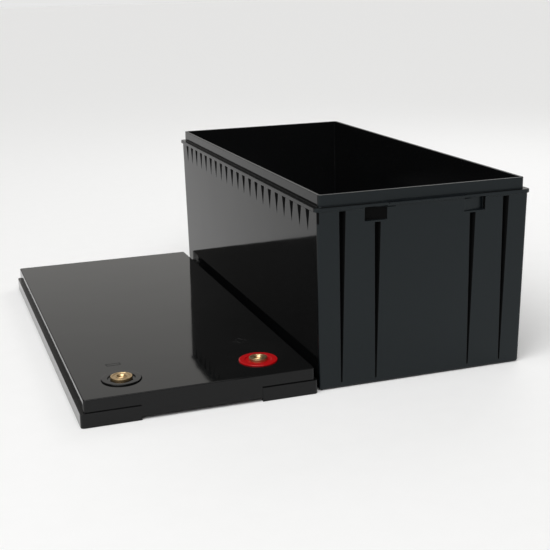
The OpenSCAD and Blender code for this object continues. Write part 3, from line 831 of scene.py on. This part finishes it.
class BATTERY_OT_busbars(bpy.types.Operator):
    """Make the busbars, their nuts, the insulating cover and the link strap"""

    bl_idname = "battery.busbars"
    bl_label = "Busbars and cover"

    def execute(self, context):
        edge = looks("battery_cells").edge_radius
        nickel = brushed("busbar_nickel", (0.70, 0.67, 0.60), 0.26)
        zinc = brushed("nut_zinc", (0.60, 0.60, 0.62), 0.30)
        copper = brushed("link_copper", (0.72, 0.34, 0.19), 0.25)
        cover = plastic("cover_plastic", (0.016, 0.016, 0.017), 0.42, wave=0.5, grain=0.25, dust=0.4)
        for link in ("negative", "1_2", "2_3", "3_4", "positive"):
            rounded_node(f"busbar_{link}", f"busbar_{link}_plated", "case", nickel, edge)
        low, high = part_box("busbar_nuts")
        rows = [(0, low.x + NUT_RADIUS), (0, high.x - NUT_RADIUS)]
        rounded_node("busbar_nuts", "busbar_nuts_flanged", "case", zinc, 0.5 * edge, 1, rows)
        rounded_node("bms_link", "link_strap", "case", copper, edge)
        rounded_node("link_screws", "link_screws_hex", "case", zinc, 0.8 * edge)
        rounded_node("busbar_cover", "busbar_cover_moulded", "case", cover, edge, 3)
        return {"FINISHED"}


SCREW_INSET = 7 * MM


class BATTERY_OT_electronics(bpy.types.Operator):
    """Make the protection board with its parts, heat sink and socket"""

    bl_idname = "battery.electronics"
    bl_label = "Protection board"

    def execute(self, context):
        own = looks("battery_cells")
        edge = own.edge_radius
        sheet = laminate("carrier_sheet", (0.035, 0.11, 0.055))
        green = circuit_board("board_lacquer", tuple(own.board))
        epoxy = plastic("transistor_epoxy", (0.014, 0.014, 0.015), 0.45, wave=0.1, grain=0.2, dust=0.3)
        sink = brushed("sink_aluminium", (0.60, 0.61, 0.63), 0.38)
        nylon = plastic("socket_nylon", (0.78, 0.75, 0.66), 0.38, wave=0.4, grain=0.1, dust=0.1)
        zinc = brushed("screw_zinc", (0.60, 0.60, 0.62), 0.30)
        brass = brushed("spacer_brass", (0.70, 0.50, 0.25), 0.28)
        low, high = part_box("bms_board")
        rows = [(2, low.z + SCREW_INSET), (2, high.z - SCREW_INSET)]
        rounded_node("bms_plate", "carrier_plate", "case", sheet, 0.6 * edge)
        rounded_node("bms_spacers", "board_spacers", "case", brass, 0.6 * edge, cuts=rows)
        rounded_node("bms_board", "protection_board", "case", green, 0.4 * edge, cuts=rows)
        rounded_node("bms_transistors", "board_transistors", "case", epoxy, edge)
        rounded_node("bms_heatsink", "board_heatsink", "case", sink, 0.8 * edge)
        rounded_node("bms_socket", "sensing_socket", "case", nylon, 0.5 * edge)
        rounded_node("bms_screws", "board_screws", "case", zinc, 0.6 * edge, cuts=rows)
        return {"FINISHED"}


# ---------------------------------------------------------------- stage

SKY_WAY = Vector((0.5, 0.86, 0.1))
SKY_EDGE = (0.70, 0.88)
WARM, WHITE = (1.0, 0.985, 0.95, 1), (1.0, 1.0, 1.0, 1)
FLOOR_GAP = 0.2 * MM


def camera_matrix(own):
    """Camera axes from its heading, pitch and roll."""
    forward = Vector((math.sin(own.heading) * math.cos(own.pitch),
                      math.cos(own.heading) * math.cos(own.pitch), -math.sin(own.pitch)))
    right = Vector((math.cos(own.heading), -math.sin(own.heading), 0))
    up = right.cross(forward)
    turned_right = math.cos(own.roll) * right + math.sin(own.roll) * up
    turned_up = math.cos(own.roll) * up - math.sin(own.roll) * right
    axes = Matrix((turned_right, turned_up, -forward)).transposed().to_4x4()
    return Matrix.Translation(own.camera_place) @ axes


def soft_light(name, place, target, size, energy):
    """A square softbox that faces a target."""
    data = bpy.data.lights.new(name, "AREA")
    data.size = size
    data.energy = energy
    light = bpy.data.objects.new(name, data)
    light.location = place
    light.rotation_euler = (Vector(target) - Vector(place)).to_track_quat("-Z", "Y").to_euler()
    bpy.context.scene.collection.objects.link(light)


class BATTERY_OT_stage(bpy.types.Operator):
    """Make the camera, the pale floor and the soft light"""

    bl_idname = "battery.stage"
    bl_label = "Stage"

    def execute(self, context):
        own = looks("battery_stage")
        scene = context.scene
        data = bpy.data.cameras.new("camera")
        data.lens = own.focal_length
        data.sensor_width = 36
        data.clip_end = 100
        camera = bpy.data.objects.new("camera", data)
        camera.matrix_world = camera_matrix(own)
        scene.collection.objects.link(camera)
        scene.camera = camera
        self.make_floor(own)
        self.make_sky(scene, own)
        sun = bpy.data.lights.new("broad_sun", "SUN")
        sun.energy = own.sun
        sun.angle = math.radians(70)
        light = bpy.data.objects.new("broad_sun", sun)
        light.rotation_euler = (math.radians(28), math.radians(-22), 0)
        scene.collection.objects.link(light)
        soft_light("key_softbox", place=(-1.1, -0.9, 1.5), target=(-0.2, -0.1, 0), size=0.9, energy=6)
        soft_light("rim_softbox", place=(0.9, 0.9, 1.2), target=(0, 0, 0.1), size=0.7, energy=3)
        scene.view_settings.view_transform = "Standard"
        return {"FINISHED"}

    def make_floor(self, own):
        """White paper just under the pack."""
        material, r, shader = start_material("floor_paper", Specular_IOR_Level=0.1)
        fibre = r.noise(r.place(), 40.0, 4.0)
        r.feed(shader.inputs["Base Color"], r.blend(fibre, (0.90, 0.90, 0.90, 1), (0.92, 0.92, 0.92, 1)))
        r.feed(shader.inputs["Roughness"], r.ramp(fibre, 0.3, 0.7, 0.85, 0.95))
        bm = bmesh.new()
        bmesh.ops.create_grid(bm, x_segments=1, y_segments=1, size=own.floor_size)
        bmesh.ops.translate(bm, vec=(0, 0, -FLOOR_GAP), verts=bm.verts)
        mesh = bpy.data.meshes.new("floor")
        bm.to_mesh(mesh)
        bm.free()
        mesh.materials.append(material)
        floor = bpy.data.objects.new("floor", mesh)
        bpy.context.scene.collection.objects.link(floor)

    def make_sky(self, scene, own):
        """A bright part of the sky behind the pack, seen by everything but the camera."""
        world = bpy.data.worlds.new("studio")
        world.use_nodes = True
        recipe = Recipe(world.node_tree)
        way = recipe.add("ShaderNodeTexCoord").outputs["Generated"]
        facing = recipe.vector("DOT_PRODUCT", way, SKY_WAY, output="Value")
        level = recipe.ramp(facing, *SKY_EDGE, own.shade, own.sky)
        seen = recipe.add("ShaderNodeLightPath").outputs["Is Camera Ray"]
        background = world.node_tree.nodes["Background"]
        recipe.feed(background.inputs["Color"], recipe.blend(seen, WARM, WHITE))
        strength = recipe.add("ShaderNodeMix", data_type="FLOAT")
        recipe.feed(strength.inputs["Factor"], seen)
        recipe.feed(strength.inputs[2], level)
        recipe.feed(strength.inputs[3], own.backdrop)
        recipe.feed(background.inputs["Strength"], strength.outputs[0])
        scene.world = world


# ---------------------------------------------------------------- panel and run

PIECES = (
    BATTERY_OT_stage,
    BATTERY_OT_container,
    BATTERY_OT_lid,
    BATTERY_OT_terminals,
    BATTERY_OT_cells,
    BATTERY_OT_clamping,
    BATTERY_OT_busbars,
    BATTERY_OT_electronics,
)


class BATTERY_PT_panel(bpy.types.Panel):
    """Lists the battery's settings and the steps that build it"""

    bl_label = "Battery pack"
    bl_idname = "BATTERY_PT_panel"
    bl_space_type = "VIEW_3D"
    bl_region_type = "UI"
    bl_category = "Battery"

    def draw(self, context):
        for name, kind in LOOKS.items():
            box = self.layout.box()
            for field in kind.__annotations__:
                box.prop(getattr(context.scene, name), field)
        for piece in PIECES:
            self.layout.operator(piece.bl_idname)


CLASSES = (*LOOKS.values(), *PIECES, BATTERY_PT_panel)


def register():
    for kind in CLASSES:
        bpy.utils.register_class(kind)
    for name, kind in LOOKS.items():
        setattr(bpy.types.Scene, name, PointerProperty(type=kind))


def unregister():
    for name in LOOKS:
        delattr(bpy.types.Scene, name)
    for kind in reversed(CLASSES):
        bpy.utils.unregister_class(kind)


def main():
    register()
    for piece in PIECES:
        category, step = piece.bl_idname.split(".")
        getattr(getattr(bpy.ops, category), step)()


if __name__ == "__main__":
    main()
